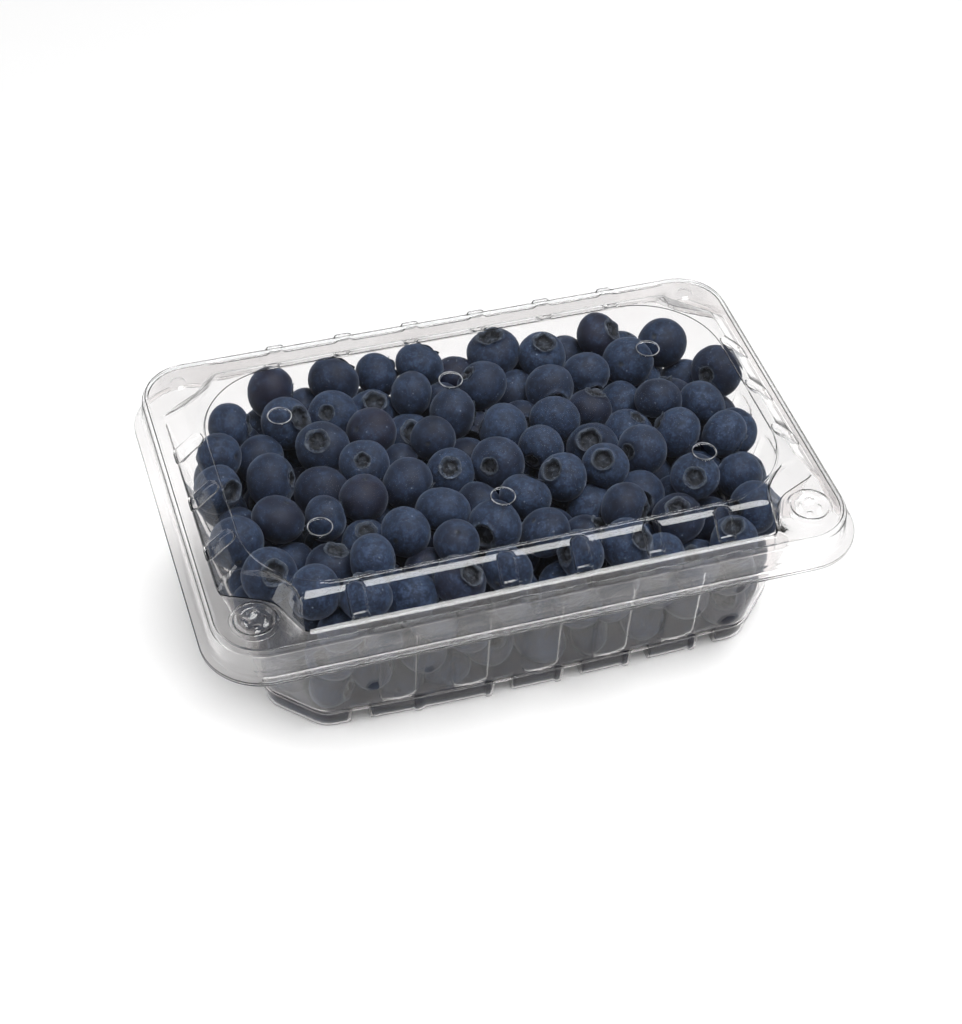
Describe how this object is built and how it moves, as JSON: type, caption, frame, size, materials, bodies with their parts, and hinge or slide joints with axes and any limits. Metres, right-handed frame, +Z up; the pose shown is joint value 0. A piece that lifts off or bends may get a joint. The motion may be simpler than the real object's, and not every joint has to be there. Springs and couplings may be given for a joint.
{
  "type": "punnet of blueberries",
  "caption": "Clear hinged plastic punnet with vented fluted lid, corner snap buttons and grooved feet, heaped full of blueberries.",
  "frame": {"origin": "middle of the bounding box in plan, at the surface the feet stand on", "axes": "+X along the length to the right, +Y from the buttoned front to the hinged rear, +Z up"},
  "size_m": [0.184, 0.117, 0.0575],
  "materials": {
    "tub_sheet": "clear, glossy thin sheet",
    "lid_sheet": "clear, glossy thin sheet",
    "berry_skin": "dark blue skin with a dull waxy bloom"
  },
  "bodies": {
    "base": {"tub": "tub_sheet", "berries": "berry_skin"},
    "cover": {"lid": "lid_sheet"}
  },
  "joints": [
    {"name": "lid_hinge", "type": "hinge", "parent": "base", "child": "cover", "pos_m": [0, 0.0588, 0.04185], "axis": [-1, 0, 0], "range_deg": [0, 180]}
  ]
}
